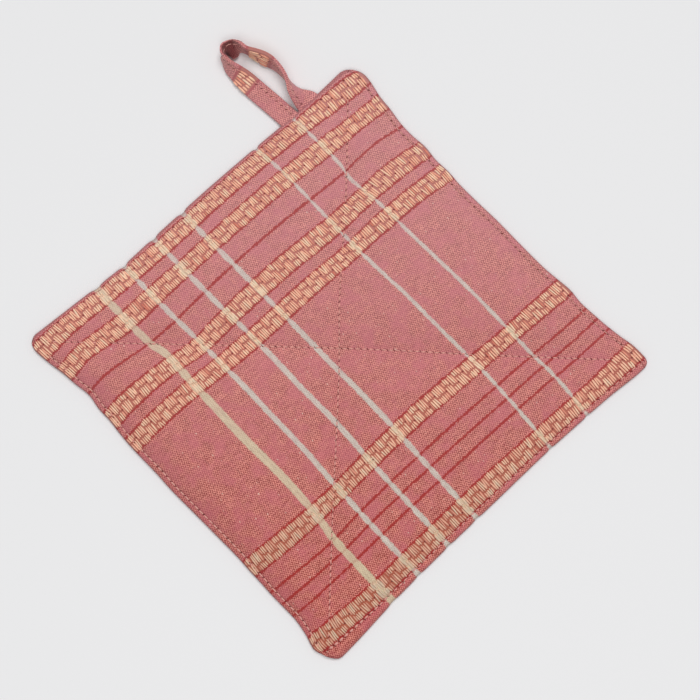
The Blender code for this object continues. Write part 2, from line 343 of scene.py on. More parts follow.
def in_band(v):
    """1 on the bands and 0 beside them, with short slopes between."""
    stops, values = [], []
    for near, far in band_edges():
        stops += [near - 0.2, near + 0.8, far - 0.8, far + 0.2]
        values += [0, 1, 1, 0]
    return np.interp(v, stops, values)


def puckers(x, y):
    """Small gathers beside the quilting, where the stitches draw the cloth together."""
    total = np.zeros_like(x)
    for line in (0, 1):
        along, aside = along_quilting(line, x, y)
        waver = unevenness(along, aside * 0.3, 14, 30 + line)
        ripple = np.sin(2 * math.pi * along / PUCKER_PITCH + 2.2 * waver + np.sign(aside) * 0.7)
        nearness = np.exp(-np.abs(aside) / 5.5) * (1 - np.exp(-np.abs(aside) / 0.8))
        total += ripple * nearness
    return total


def groove(x, y):
    """How deep the stitches draw the cloth in, from 0 to 1."""
    deepest = np.zeros_like(x)
    for line in (0, 1):
        along, aside = along_quilting(line, x, y)
        holes = 0.75 + 0.25 * np.cos(2 * math.pi * along / QUILTING_STITCH)
        deepest = np.maximum(deepest, np.exp(-((aside / GROOVE_REACH) ** 2)) * holes)
    return deepest


def notches(u, v):
    """How far the tighter stripes draw the near and far edges in, towards +y."""
    tight = sum(np.exp(-(((u - centre) / (0.7 * width)) ** 2)) for _, centre, width, _ in STRIPES)
    near_ends = np.clip(1 - (v - BOTTOM) / NOTCH_REACH, 0, 1)
    far_ends = np.clip(1 - (TOP - v) / NOTCH_REACH, 0, 1)
    return NOTCH_DEPTH * tight * (0.6 * near_ends - far_ends)


def surface(side, u, v):
    """The x, y and z of places on one side of the pad."""
    x, y = real_place(*rounded(u, v))
    y = y + notches(u, v)
    edge = from_edge(u, v)
    inwards = [row[0] for row in RIM]
    to_seam = np.minimum.reduce([np.abs(along_quilting(line, x, y)[1]) for line in (0, 1)])
    full = rise(edge - TOPSTITCH_IN) * rise(to_seam)
    calm = np.clip(edge / 8, 0, 1)
    if side == FACE:
        z = np.interp(edge, inwards, [row[1] for row in RIM])
        z += CROWN * full - GROOVE_DEPTH * groove(x, y) * calm
        z += (PUCKER_DEPTH * puckers(x, y) + 0.16 * unevenness(x, y, 18, 5)) * calm
        z += BAND_LIFT * in_band(v) * np.clip(edge / TOPSTITCH_IN, 0, 1)
    else:
        z = np.interp(edge, inwards, [row[2] for row in RIM])
        z += UNDER_LIFT * np.clip(1 - to_seam / UNDER_REACH, 0, 1) * calm
        z += (0.12 + 0.10 * unevenness(x, y, 18, 6)) * (0.2 + calm)
        z += UNDER_BAND * in_band(v) * calm
        z = np.maximum(z, LOWEST)
    return x, y, z


def in_frame(x, y, z):
    """Points from the cloth's own millimetres to the frame."""
    return np.column_stack([x + CLOTH_MIDDLE[0], y + CLOTH_MIDDLE[1], z]) * MM


def settled(side, u, v, off, line=None):
    """Points laid on one side of the pad, standing off it by as much as they are told.

    They are given in the cloth's coordinates, or in those of a quilting line.
    """
    if line is not None:
        u, v = cloth_place(*on_quilting(line, u, v))
    x, y, z = surface(side, u, v)
    return in_frame(x, y, z + side * off)


# --- the loop's tape, as its cloth lies along it ---

PATCHES = ((24.8, 34.4), (58.6, 71.0))  # where the bands cross the tape
LOOP_END, LOOP_END_LENGTH = 48.0, 11.0  # where the tape turns back, inside in shade
INSIDE, INSIDE_WIDTH = 17.0, 10.0  # the face that turns inwards, round the tape from its fold
STITCH_ROWS = (8.0, 16.4)  # on its two faces, likewise


# --- nodes for the materials ---


def new_material(name, roughness=0.85, sheen=0.25):
    material = bpy.data.materials.new(name)
    material.use_nodes = True
    shader = material.node_tree.nodes["Principled BSDF"]
    shader.inputs["Roughness"].default_value = roughness
    shader.inputs["Specular IOR Level"].default_value = 0.25
    shader.inputs["Sheen Weight"].default_value = sheen
    shader.inputs["Sheen Roughness"].default_value = 0.5
    return material, material.node_tree, shader


def colour(red, green, blue):
    """A colour from its values between 0 and 255, as they show on a screen."""
    linear = []
    for value in (red, green, blue):
        value /= 255
        linear.append(value / 12.92 if value <= 0.04045 else ((value + 0.055) / 1.055) ** 2.4)
    return (*linear, 1.0)


def add(tree, kind, *values, **settings):
    """Adds a node, gives its inputs numbers or other nodes' outputs, and returns it."""
    node = tree.nodes.new(kind)
    for setting, value in settings.items():
        setattr(node, setting, value)
    for socket, value in zip(node.inputs, values):
        if isinstance(value, bpy.types.NodeSocket):
            tree.links.new(value, socket)
        elif value is not None:
            socket.default_value = value
    return node


def work_out(tree, operation, *values, clamp=False):
    """The output of a Math node."""
    return add(tree, "ShaderNodeMath", *values, operation=operation, use_clamp=clamp).outputs[0]


def mix(tree, share, first, second, blend="MIX"):
    """The output of a node that mixes two colours."""
    node = tree.nodes.new("ShaderNodeMix")
    node.data_type = "RGBA"
    node.blend_type = blend
    for socket, value in ((node.inputs[0], share), (node.inputs[6], first), (node.inputs[7], second)):
        if isinstance(value, bpy.types.NodeSocket):
            tree.links.new(value, socket)
        else:
            socket.default_value = value
    return node.outputs[2]


def ramp(tree, value, low, high, start=0.0, end=1.0):
    """Runs smoothly from start to end as the value goes from low to high."""
    node = add(tree, "ShaderNodeMapRange", value, low, high, start, end, interpolation_type="SMOOTHSTEP")
    return node.outputs[0]


def noise(tree, vector, scale, detail=2.0, roughness=0.5, stretch=(1, 1, 1)):
    """The output of a Noise Texture, made finer along each axis by its stretch."""
    if stretch != (1, 1, 1):
        vector = add(tree, "ShaderNodeMapping", vector, None, None, stretch).outputs[0]
    node = add(tree, "ShaderNodeTexNoise", vector, None, scale, detail, roughness)
    return node.outputs[0]


def carried(tree, name):
    """A place that the cloth's points carry."""
    return add(tree, "ShaderNodeAttribute", attribute_name=name).outputs[1]


def dimmed(tree, base, share):
    """The colour, made darker or paler by a share."""
    shade = add(tree, "ShaderNodeCombineXYZ", share, share, share).outputs[0]
    return mix(tree, 1.0, base, shade, "MULTIPLY")


def put_relief(tree, shader, height, strength, distance):
    """Makes the shading follow a height on the cloth or yarn."""
    bump = tree.nodes.new("ShaderNodeBump")
    bump.inputs["Strength"].default_value = strength
    bump.inputs["Distance"].default_value = distance
    tree.links.new(height, bump.inputs["Height"])
    tree.links.new(bump.outputs[0], shader.inputs["Normal"])


def any_of(tree, masks):
    """The strongest of several masks, or 0 where there are none."""
    strongest = 0.0
    for mask in masks:
        strongest = work_out(tree, "MAXIMUM", strongest, mask)
    return strongest


def near_any(tree, value, centres, width, soft=0.12):
    """1 where the value is within half the width of a centre, 0 elsewhere."""
    nearest = None
    for centre in centres:
        distance = work_out(tree, "ABSOLUTE", work_out(tree, "SUBTRACT", value, centre))
        nearest = distance if nearest is None else work_out(tree, "MINIMUM", nearest, distance)
    return ramp(tree, nearest, width / 2 - soft, width / 2 + soft, 1.0, 0.0)


# --- the cloth's material ---

QUILTING_LAYERS = ("quilting_0", "quilting_1")  # places along the quilting, and aside
THREAD_LAYER = "threads"  # places on the pad itself, so that the weave stays even
WARP_PITCH, WEFT_PITCH = 0.8, 0.5
CORAL = colour(132, 28, 24)
PALE_WEFT = colour(236, 150, 134)
DARK_RED = colour(162, 34, 29)
CREAM = colour(214, 196, 164)
CREAM_WEFT = colour(189, 164, 136)
WHITE = colour(210, 202, 189)
WHITE_WEFT = colour(181, 163, 150)
BAND_GROUND = colour(174, 93, 69)
PINK_CAST = colour(198, 98, 112)
# painted sheen: the pale haze that the light lays on the cloth, strongest towards the light
PAINTED_SHEEN = colour(238, 196, 206)
# painted shade on the pad's left side and all round its turned edge
RIM_SHADE = colour(126, 60, 66)
FLECK = colour(236, 208, 190)
# painted shade in the needle holes and in the grooves of the side seams
HOLE_SHADE = colour(96, 26, 24)
IN_SHADE = colour(88, 14, 18)


def plain_weave(tree, threads):
    """Where the crossing yarn is on top, from -1 to 1, and how high the yarns stand."""
    across, along, _ = add(tree, "ShaderNodeSeparateXYZ", threads).outputs
    rows = work_out(tree, "SINE", work_out(tree, "MULTIPLY", along, math.pi / WEFT_PITCH))
    dashes = work_out(tree, "SINE", work_out(tree, "MULTIPLY", across, math.pi / WARP_PITCH))
    crossing = work_out(tree, "MULTIPLY", rows, dashes)
    return crossing, work_out(tree, "ABSOLUTE", crossing)


def needle_holes(tree, along, aside, pitch):
    """Short slanting dark marks along a line of stitches."""
    slanted = work_out(tree, "MULTIPLY_ADD", aside, 0.8, along)
    to_hole = work_out(tree, "PINGPONG", slanted, pitch / 2)
    near_hole = ramp(tree, to_hole, 0.1, 0.38, 1.0, 0.0)
    near_line = ramp(tree, work_out(tree, "ABSOLUTE", aside), 0.3, 0.6, 1.0, 0.0)
    return work_out(tree, "MULTIPLY", near_hole, near_line)


def inside_any(tree, value, spans, margin):
    """1 where the value is inside one of the spans by more than the margin."""
    masks = []
    for near, far in spans:
        masks.append(near_any(tree, value, [(near + far) / 2], far - near - 2 * margin, 0.2))
    return any_of(tree, masks)


def edge_holes(tree, u, v):
    """Needle holes along the topstitching, on all four sides."""
    rows = []
    for along, across, near, far in ((v, u, LEFT, RIGHT), (u, v, BOTTOM, TOP)):
        off_middle = work_out(tree, "ABSOLUTE", along)
        within = work_out(tree, "LESS_THAN", off_middle, RIGHT - TOPSTITCH_IN)
        for seam in (near + TOPSTITCH_IN, far - TOPSTITCH_IN):
            aside = work_out(tree, "SUBTRACT", across, seam)
            holes = needle_holes(tree, along, aside, EDGE_STITCH)
            rows.append(work_out(tree, "MULTIPLY", holes, within))
    return any_of(tree, rows)


def striped_yarns(tree, u, stripes, drawn_in):
    """The colours of warp and weft from side to side, and where the stripes are."""
    warp, weft, masks = CORAL, PALE_WEFT, []
    for yarn, centre, width in stripes:
        off_middle = work_out(tree, "ABSOLUTE", work_out(tree, "SUBTRACT", u, centre))
        off_middle = work_out(tree, "ADD", off_middle, drawn_in)
        mask = ramp(tree, off_middle, width / 2 - 0.5, width / 2 + 0.25, 1.0, 0.0)
        warp = mix(tree, mask, warp, CREAM if yarn == "cream" else WHITE)
        weft = mix(tree, mask, weft, CREAM_WEFT if yarn == "cream" else WHITE_WEFT)
        masks.append(mask)
    return warp, weft, any_of(tree, masks)


def woven_together(tree, place, crossing, grain, warp, weft, stripe_mask):
    """Warp and weft as they show, with the thick and thin places of both yarns."""
    weft_slub = noise(tree, place, 1.0, 2.0, 0.6, (0.16, 1.9, 1))
    weft_share = ramp(tree, weft_slub, 0.25, 0.75, -0.35, 0.35)
    weft_share = work_out(tree, "ADD", weft_share, ramp(tree, grain, 0.3, 0.7, -0.65, 0.6))
    weft_share = work_out(tree, "MULTIPLY_ADD", stripe_mask, -0.3, weft_share)
    weft_on_top = work_out(tree, "ADD", crossing, weft_share)
    weft_on_top = work_out(tree, "MULTIPLY_ADD", weft_on_top, 2.2, 0.48, clamp=True)
    warp_slub = noise(tree, place, 1.0, 2.0, 0.6, (1.9, 0.16, 1))
    return dimmed(tree, mix(tree, weft_on_top, warp, weft), ramp(tree, warp_slub, 0.2, 0.8, 0.82, 1.18))


def mottled(tree, base, place, off_stripes):
    """The colour with pinker patches and small pale flecks."""
    cast = ramp(tree, noise(tree, place, 0.09, 4.0, 0.65), 0.4, 0.66, 0.0, 0.52)
    base = mix(tree, work_out(tree, "MULTIPLY", cast, off_stripes), base, PINK_CAST)
    fleck = noise(tree, place, 0.9, 1.0, 0.5, (1.0, 0.55, 1))
    return mix(tree, ramp(tree, fleck, 0.72, 0.78, 0.0, 0.7), base, FLECK)


def painted_sheen_and_rim_shade(tree, base, u, v, line_mask):
    """The pad's colour with painted sheen, paler towards the corner that faces the light, and painted
    shade, darker towards the left side and on the turned edge.
    """
    # painted sheen, growing towards the corner that faces the light, weaker on the dark lines
    sheen_share = ramp(tree, work_out(tree, "MULTIPLY_ADD", v, 1.2, u), -230, 230, 0.0, 0.24)
    sheen_share = work_out(tree, "MULTIPLY", sheen_share, work_out(tree, "MULTIPLY_ADD", line_mask, -0.65, 1.0))
    base = mix(tree, sheen_share, base, PAINTED_SHEEN)
    # painted shade: darker towards the left side, and on the turned edge all round
    base = mix(tree, ramp(tree, u, -98, -86, 0.16, 0.0), base, RIM_SHADE)
    to_side = work_out(tree, "MAXIMUM", work_out(tree, "ABSOLUTE", u), work_out(tree, "ABSOLUTE", v))
    return mix(tree, ramp(tree, to_side, 98.8, 100.0, 0.0, 0.4), base, RIM_SHADE)


def pad_seams(tree, base, place, u, v):
    """The pad's colour with painted shade in the side seams' grooves and in all needle holes, and the
    holes alone.
    """
    drawn = noise(tree, place, 0.28, 1.0)
    # painted shade in the grooves of the side seams
    seams = near_any(tree, u, [LEFT + TOPSTITCH_IN + 0.2, RIGHT - TOPSTITCH_IN], 0.7, 0.3)
    seams = work_out(tree, "MULTIPLY", seams, ramp(tree, drawn, 0.35, 0.62, 0.35, 0.65))
    base = mix(tree, seams, base, HOLE_SHADE)
    tightness = ramp(tree, drawn, 0.35, 0.62, 0.3, 1.0)
    # painted shade in the needle holes
    marks = [work_out(tree, "MULTIPLY", edge_holes(tree, u, v), tightness)]
    tightness = ramp(tree, drawn, 0.35, 0.62, 0.7, 1.0)
    for name in QUILTING_LAYERS:
        along, aside, _ = add(tree, "ShaderNodeSeparateXYZ", carried(tree, name)).outputs
        holes = needle_holes(tree, along, aside, QUILTING_STITCH)
        marks.append(work_out(tree, "MULTIPLY", holes, tightness))
    marks = any_of(tree, marks)
    return mix(tree, marks, base, HOLE_SHADE), marks


def loop_seam(tree, base, u, v):
    """The loop's colour, with painted sheen all over, painted shade inside its far end and in the needle
    holes along its seam.
    """
    # painted sheen, evenly over the tape
    base = mix(tree, 0.2, base, PAINTED_SHEEN)
    shaded = near_any(tree, v, [LOOP_END], LOOP_END_LENGTH, 2.5)
    shaded = work_out(tree, "MULTIPLY", shaded, near_any(tree, u, [INSIDE], INSIDE_WIDTH, 1.0))
    base = mix(tree, work_out(tree, "MULTIPLY", shaded, 0.85), base, IN_SHADE)
    for row in STITCH_ROWS:
        # painted shade in the needle holes of the tape's seam
        marks = needle_holes(tree, v, work_out(tree, "SUBTRACT", u, row), EDGE_STITCH)
        base = mix(tree, marks, base, HOLE_SHADE)
    return base


def woven_cloth(name, stripes, lines, bands, on_loop=False):
    """Plain weave of coral warp and pale weft, with stripes, cross lines and bands."""
    material, tree, shader = new_material(name)
    place = add(tree, "ShaderNodeUVMap", uv_map="cloth").outputs[0]
    threads = place if on_loop else carried(tree, THREAD_LAYER)
    u, v, _ = add(tree, "ShaderNodeSeparateXYZ", place).outputs
    waver = ramp(tree, noise(tree, place, 0.35, 1.0), 0.2, 0.8, -0.15, 0.15)
    wavy_u = work_out(tree, "ADD", u, waver)
    wavy_v = work_out(tree, "ADD", v, waver)
    jagged = noise(tree, place, 1.3, 1.0)
    jagged_v = work_out(tree, "ADD", wavy_v, ramp(tree, jagged, 0.25, 0.75, -0.4, 0.4))
    grain = noise(tree, threads, 2.1, 2.0, 0.75)

    drawn_in = work_out(tree, "MULTIPLY", near_any(tree, v, lines, 3.0, 1.2), 0.3)
    drawn_in = work_out(tree, "ADD", drawn_in, ramp(tree, jagged, 0.25, 0.75, -0.25, 0.2))
    warp, weft, stripe_mask = striped_yarns(tree, wavy_u, stripes, drawn_in)
    off_stripes = work_out(tree, "MULTIPLY_ADD", stripe_mask, -0.8, 1.0)
    line_mask = near_any(tree, jagged_v, lines, 1.25, 0.15)
    line_mask = work_out(tree, "MULTIPLY", line_mask, ramp(tree, grain, 0.3, 0.7, 1.0, 0.85))
    line_mask = work_out(tree, "MULTIPLY", line_mask, off_stripes)

    crossing, height = plain_weave(tree, threads)
    base = woven_together(tree, place, crossing, grain, warp, weft, stripe_mask)
    base = mottled(tree, base, place, off_stripes)
    base = mix(tree, line_mask, base, DARK_RED)
    ground = mix(tree, stripe_mask, BAND_GROUND, CREAM)
    base = mix(tree, inside_any(tree, wavy_v, bands, 0.5), base, ground)
    if on_loop:
        base = loop_seam(tree, base, u, v)
    else:
        base = painted_sheen_and_rim_shade(tree, base, u, v, line_mask)
        base, holes = pad_seams(tree, base, place, u, v)
        height = work_out(tree, "MULTIPLY_ADD", holes, -3.0, height)
    tree.links.new(base, shader.inputs["Base Color"])
    put_relief(tree, shader, height, 0.5, 0.00012)
    return material


def float_yarn():
    """The thick yarn of the bands: pink to cream, paler where a stripe crosses, with painted shade
    towards one corner.
    """
    material, tree, shader = new_material("float_yarn", 0.8, 0.3)
    tone = add(tree, "ShaderNodeAttribute", attribute_name="tone").outputs[2]
    stops = (
        (0.0, colour(136, 36, 30)),
        (0.2, colour(224, 134, 112)),
        (0.5, colour(252, 188, 159)),
        (0.75, colour(255, 211, 179)),
        (0.9, colour(242, 212, 184)),
        (1.0, colour(230, 208, 178)),
    )
    tones = add(tree, "ShaderNodeValToRGB", tone)
    for place, value in stops[1:-1]:
        tones.color_ramp.elements.new(place).color = value
    tones.color_ramp.elements[0].color = stops[0][1]
    tones.color_ramp.elements[-1].color = stops[-1][1]
    place = add(tree, "ShaderNodeTexCoord").outputs[3]
    fibres = noise(tree, place, 1.0, 3.0, 0.6, (2600, 500, 900))
    shade = ramp(tree, fibres, 0.25, 0.75, 0.83, 1.13)
    x, y, _ = add(tree, "ShaderNodeSeparateXYZ", place).outputs
    # painted shade: the yarn darker towards the pad's near left corner, away from the light
    painted_shade_to_corner = ramp(tree, work_out(tree, "ADD", x, y), -0.2, 0.0, 0.77, 1.0)
    base = dimmed(tree, tones.outputs[0], work_out(tree, "MULTIPLY", shade, painted_shade_to_corner))
    tree.links.new(base, shader.inputs["Base Color"])
    put_relief(tree, shader, fibres, 0.4, 0.0001)
    return material


def sewing_thread(name, red, green, blue):
    """Two-ply thread, with painted shade between its plies."""
    material, tree, shader = new_material(name, 0.6, 0.2)
    place = add(tree, "ShaderNodeTexCoord").outputs[3]
    ply = ramp(tree, noise(tree, place, 2500.0, 2.0, 0.6), 0.3, 0.7)
    shaded_between_plies = colour(red * 0.85, green * 0.8, blue * 0.8)
    base = mix(tree, ply, shaded_between_plies, colour(red, green, blue))
    tree.links.new(base, shader.inputs["Base Color"])
    return material


# --- pieces ---


def mesh_from(bm, name):
    mesh = bpy.data.meshes.new(name)
    bm.to_mesh(mesh)
    bm.free()
    return mesh


def finish_piece(mesh, name, material):
    """Makes the piece's object, which rides on the only body."""
    mesh.shade_smooth()
    mesh.materials.append(material)
    piece = bpy.data.objects.new(name, mesh)
    bpy.context.scene.collection.objects.link(piece)
    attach(piece, "root")
    return piece


def cloth_stops(start, end):
    """Where the lines of points lie across the cloth, closer together at the edge."""
    inwards = [row[0] for row in RIM if row[0] <= 5.0]
    count = round((end - start - 2 * inwards[-1]) / CLOTH_PITCH)
    middle = np.linspace(start + inwards[-1], end - inwards[-1], count + 1)[1:-1]
    return np.array([*(start + d for d in inwards), *middle, *(end - d for d in reversed(inwards))])


def make_pad(material):
    """Both cloths as one closed skin, sewn together along the edge."""
    bm = bmesh.new()
    in_u = bm.verts.layers.float.new("cloth_u")
    in_v = bm.verts.layers.float.new("cloth_v")
    names = (*QUILTING_LAYERS, THREAD_LAYER)
    for name in names:
        bm.verts.layers.float_vector.new(name)
    layers = [bm.verts.layers.float_vector[name] for name in names]
    u_stops = cloth_stops(LEFT, RIGHT)
    v_stops = cloth_stops(BOTTOM, TOP)
    across, along = len(u_stops) - 1, len(v_stops) - 1
    sides = {}
    for side in (FACE, BACK):
        made = bmesh.ops.create_grid(bm, x_segments=across, y_segments=along, size=1.0)
        sides[side] = made["verts"]
    under_faces = {face for vert in sides[BACK] for face in vert.link_faces}
    bmesh.ops.reverse_faces(bm, faces=list(under_faces))
    for side, verts in sides.items():
        grid = np.array([vert.co for vert in verts])
        u = u_stops[np.rint((grid[:, 0] + 1) / 2 * across).astype(int)]
        v = v_stops[np.rint((grid[:, 1] + 1) / 2 * along).astype(int)]
        x, y, z = surface(side, u, v)
        carried_places = (along_quilting(0, x, y), along_quilting(1, x, y), (x, y))
        points = in_frame(x, y, z)
        for k, vert in enumerate(verts):
            vert[in_u], vert[in_v] = u[k], v[k]
            for layer, (first, second) in zip(layers, carried_places):
                vert[layer] = (first[k], second[k], 0)
            vert.co = points[k]
    bmesh.ops.remove_doubles(bm, verts=[vert for vert in bm.verts if vert.is_boundary], dist=1e-6)
    cloth = bm.loops.layers.uv.new("cloth")
    for face in bm.faces:
        for loop in face.loops:
            loop[cloth].uv = (loop.vert[in_u], loop.vert[in_v])
    pad = finish_piece(mesh_from(bm, "pad_cloth"), "pad_cloth", material)
    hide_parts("pad")


def beads(places, sizes, sides, segments=8, rings=6):
    """Many stretched rounds, the shape of a float of yarn or of a stitch, in one mesh.

    Returns the mesh and its points, a row of them for each bead.
    """
    bm = bmesh.new()
    lying = Matrix.Rotation(math.pi / 2, 4, "X")
    bmesh.ops.create_uvsphere(bm, u_segments=segments, v_segments=rings, radius=1.0, matrix=lying)
    for vert in bm.verts:  # blunter ends
        vert.co.y = math.copysign(abs(vert.co.y) ** 0.6, vert.co.y)
    one = mesh_from(bm, "bead")
    holder = bpy.data.objects.new("bead", one)
    bpy.context.scene.collection.objects.link(holder)
    copies = holder.modifiers.new("copies", "ARRAY")
    copies.count = len(places)
    copies.use_relative_offset = False
    view = bpy.context.evaluated_depsgraph_get()
    mesh = bpy.data.meshes.new_from_object(holder.evaluated_get(view))
    bpy.data.objects.remove(holder)
    bpy.data.meshes.remove(one)
    points = np.empty(len(mesh.vertices) * 3)
    mesh.vertices.foreach_get("co", points)
    points = points.reshape(len(places), -1, 3) * np.array(sizes)[:, None]
    points[..., 0] *= np.array(sides)[:, None]  # keeps the beads of the back right side out
    return mesh, points + np.array(places)[:, None]


def put_points(mesh, points):
    """Moves the mesh's points to the given places in the frame."""
    mesh.vertices.foreach_set("co", points.reshape(-1).astype(np.float32))
    mesh.update()


def put_tones(mesh, tones, points, places, sizes):
    """Gives the points of each bead its tone, with painted shade that darkens it towards the bead's
    ends.
    """
    to_end = np.abs(points[..., 1] - np.array(places)[:, 1:2]) / np.array(sizes)[:, 1:2]
    tones = np.array(tones)[:, None] * (1 - END_SHADE * to_end**3)
    values = mesh.attributes.new("tone", "FLOAT", "POINT")
    values.data.foreach_set("value", tones.reshape(-1).astype(np.float32))


def stripe_at(u):
    """Whether a pale stripe runs along the cloth at u."""
    return any(abs(u - centre) < width / 2 for _, centre, width, _ in STRIPES)


def float_tone(rng, pale, puff):
    if pale:
        return rng.uniform(*PALE_TONES)
    return np.clip(rng.normal(TONE + PUFF_PAINTED_LIGHT * puff, TONE_SPREAD), *TONE_LIMITS)


def make_band_floats(material, side):
    """The thick yarn on one side of the pad: blocks of floats, two rows to a band."""
    rng = np.random.default_rng(11 if side == FACE else 12)
    places, sizes, tones = [], [], []
    for near, far in band_edges():
        width = far - near
        u = BAND_START
        shift = BLOCK_SHIFT
        while u < BAND_END:
            meet = 0.5 + shift * rng.uniform(0.7, 1.2)
            ends = rng.uniform(0.0, 0.08, 2)
            count = rng.integers(*BLOCK)
            for k in range(count):
                if u > BAND_END:
                    break
                pale = stripe_at(u)
                puff = 1 - ((k + 0.5) / count * 2 - 1) ** 2  # 0 at the block's sides, 1 in its middle
                lift = BLOCK_PUFF * puff if side == FACE else 0.0
                first, last = ends - BLOCK_SWELL * puff + rng.uniform(-RAGGED_EDGE, RAGGED_EDGE, 2)
                turn = meet + rng.uniform(-RAGGED_MEETING, RAGGED_MEETING)
                for start, end in ((first, turn - FLOAT_GAP), (turn + FLOAT_GAP, 1 - last)):
                    places.append((u, near + (start + end) / 2 * width, lift))
                    sizes.append((
                        FLOAT_WIDTH / 2 * rng.uniform(0.85, 1.15) * (PALE_WIDER if pale else 1.0),
                        (end - start) / 2 * width,
                        FLOAT_HEIGHT * rng.uniform(0.8, 1.2),
                    ))
                    tones.append(float_tone(rng, pale, puff))
                u += FLOAT_PITCH * rng.uniform(0.88, 1.12)
            if u < BAND_END - 2.0 and not stripe_at(u):
                places.append((u - WARP_END[0], near + meet * width, 0.0))
                sizes.append(WARP_END)
                tones.append(0.0)
            u += BLOCK_GAP * rng.uniform(0.4, 1.0)
            shift = -shift
    mesh, points = beads(places, sizes, [side] * len(places))
    tilts = rng.normal(0, FLOAT_TILT, (len(places), 1))
    points[..., 0] += tilts * (points[..., 1] - np.array(places)[:, 1:2])
    put_points(mesh, settled(side, *points.reshape(-1, 3).T))
    put_tones(mesh, tones, points, places, sizes)
    name = "band_floats_face" if side == FACE else "band_floats_back"
    finish_piece(mesh, name, material)


def quilted_lines(side):
    """The stitches of each quilting line on one side, as a mesh and where its points go."""
    rows = []
    for line, (start_x, start_y, end_x, end_y) in enumerate(QUILTING):
        length = math.hypot(end_x - start_x, end_y - start_y)
        count = int((length - UNQUILTED) / QUILTING_STITCH)
        along = (np.arange(count) + 1.5) * QUILTING_STITCH
        places = np.column_stack([along, 0 * along, 0 * along + STITCH_OFF])
        sizes = [(QUILTING_STITCH * STITCH_LENGTH, *QUILTING_THREAD)] * count
        mesh, points = beads(places, sizes, [side] * count, 6, 8)
        rows.append((mesh, settled(side, *points.reshape(-1, 3).T, line)))
    return rows


def make_quilting_stitches(material):
    """The quilting's thread on both sides, as one piece."""
    bm = bmesh.new()
    for mesh, points in (*quilted_lines(FACE), *quilted_lines(BACK)):
        put_points(mesh, points)
        bm.from_mesh(mesh)
        bpy.data.meshes.remove(mesh)
    mesh = mesh_from(bm, "quilting_stitches")
    finish_piece(mesh, "quilting_stitches", material)


def make_edge_stitches(material):
    """The topstitching's thread on both sides, as one piece."""
    places, sizes, sides = [], [], []
    count = int((RIGHT - TOPSTITCH_IN - 1.0) / EDGE_STITCH)
    long = EDGE_STITCH * STITCH_LENGTH
    seams_u = ((LEFT + TOPSTITCH_IN, LOOSE_WIDTH), (RIGHT - TOPSTITCH_IN, STITCH_WIDTH))
    seams_v = (BOTTOM + TOPSTITCH_IN, TOP - TOPSTITCH_IN)
    for side in (FACE, BACK):
        for k in range(-count, count):
            along = (k + 0.5) * EDGE_STITCH
            for u, wide in seams_u:
                places.append((u, along, STITCH_OFF))
                sizes.append((wide, long, STITCH_HEIGHT))
            for v in seams_v:
                places.append((along, v, STITCH_OFF))
                sizes.append((long, STITCH_WIDTH, STITCH_HEIGHT))
        sides += [side] * (len(places) - len(sides))
    mesh, points = beads(places, sizes, sides, 6, 8)
    half = len(points) // 2
    face = settled(FACE, *points[:half].reshape(-1, 3).T)
    back = settled(BACK, *points[half:].reshape(-1, 3).T)
    put_points(mesh, np.concatenate([face, back]))
    finish_piece(mesh, "edge_stitches", material)


# --- the hanging loop ---

TAPE_WIDTH, TAPE_THICKNESS = 10.0, 2.0
TAPE_CLEARANCE = 0.3  # from the table to the tape
SEAM_HEIGHT = 1.65  # of the seam that holds the tape's ends
TAPE_RING = 0.7  # between the rings of points along it
TAPE_FLOAT = 1.5  # between the floats that cross it
TAPE_FLOATS_FROM, TAPE_FLOATS_TO = -4.2, 4.4  # across it, off its middle
TAPE_FLOAT_SIZE = (0.037 * TAPE_FLOAT, 0.22)  # half of one, in shares of the tape's
TAPE_UNSTITCHED = 4.0  # at each end
TAPE_STITCH_OFF = 0.36  # share of the thickness
TAPE_STITCH_SIZE = (0.024, 1.1, 0.1)  # half of it, in shares across and through, in mm along
TAPE_STATIONS = (
    # x, y, lean in degrees, width
    (60.8, 95.5, 0, 10.0),
    (60.7, 98.0, 0, 10.0),
    (60.3, 103.0, 0, 10.0),
    (59.7, 109.0, 2, 10.0),
    (59.0, 115.0, 5, 10.0),
    (58.4, 120.5, 12, 9.9),
    (57.9, 125.5, 26, 9.8),
    (57.4, 130.0, 44, 9.6),
    (57.0, 133.6, 58, 9.6),
    (57.3, 137.2, 73, 9.4),
    (58.2, 139.6, 84, 9.2),
    (59.6, 140.9, 98, 9.2),
    (61.9, 141.0, 134, 9.4),
    (64.2, 139.5, 150, 9.4),
    (66.9, 137.8, 112, 9.4),
    (68.1, 134.9, 97, 9.4),
    (69.5, 131.4, 105, 9.5),
    (71.0, 127.6, 114, 9.6),
    (72.4, 123.6, 114, 9.6),
    (73.2, 119.4, 104, 9.6),
    (73.2, 115.6, 97, 9.6),
    (72.8, 112.4, 90, 9.6),
    (72.1, 109.4, 80, 9.6),
    (71.4, 106.4, 64, 9.6),
    (71.3, 103.4, 48, 10.0),
    (71.7, 100.6, 22, 10.4),
    (72.4, 97.6, 0, 11.8),
    (72.8, 95.0, 0, 12.4),
)
ENDS_SEWN_IN = 2  # stations at each end that the pad's seam holds

